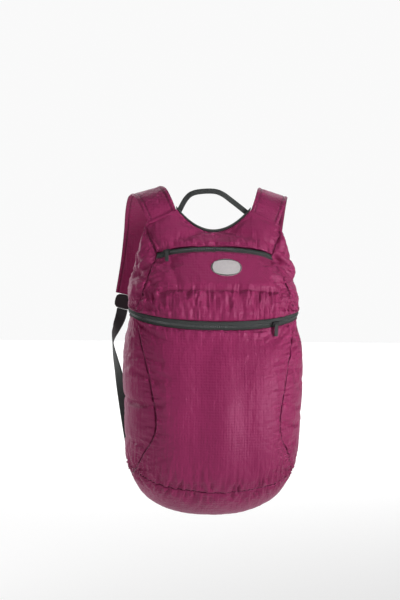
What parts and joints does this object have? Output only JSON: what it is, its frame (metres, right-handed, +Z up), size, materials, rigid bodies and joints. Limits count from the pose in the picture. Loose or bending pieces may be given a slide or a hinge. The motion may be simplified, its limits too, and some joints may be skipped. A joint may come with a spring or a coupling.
{
  "type": "packable backpack",
  "caption": "Soft rounded cloth backpack with a wraparound zip, an arched pocket zip, a scooped neckline with a grab loop, and two broad shoulder straps, shaped as worn.",
  "frame": {"origin": "midway between the undersides of the two strap crests, where the pack hangs on the shoulders", "axes": "+Z up, +Y the way the wearer faces, +X to the wearer's right"},
  "size_m": [0.3322, 0.3458, 0.5579],
  "materials": {
    "cloth": "thin glossy plum parachute nylon",
    "tape": "matt black woven tape",
    "hard_trim": "satin black",
    "label": "pale woven label"
  },
  "bodies": {
    "root": {"yoke_panel": "cloth", "pocket_panel": "cloth", "upper_side_left": "cloth", "upper_side_right": "cloth", "lower_front_panel": "cloth", "lower_side_left": "cloth", "lower_side_right": "cloth", "base_panel": "cloth", "back_panel": "cloth", "main_zip_tape": "tape", "main_zip_slider": "hard_trim", "main_zip_pull": "tape", "pocket_zip_tape": "tape", "pocket_zip_slider": "hard_trim", "pocket_zip_pull": "tape", "label_patch": "label", "neckline_binding": "tape", "grab_loop": "tape", "shoulder_strap_left": "cloth", "shoulder_strap_right": "cloth", "strap_buckle_left": "hard_trim", "strap_buckle_right": "hard_trim", "strap_webbing_left": "tape", "strap_webbing_right": "tape"}
  },
  "joints": []
}
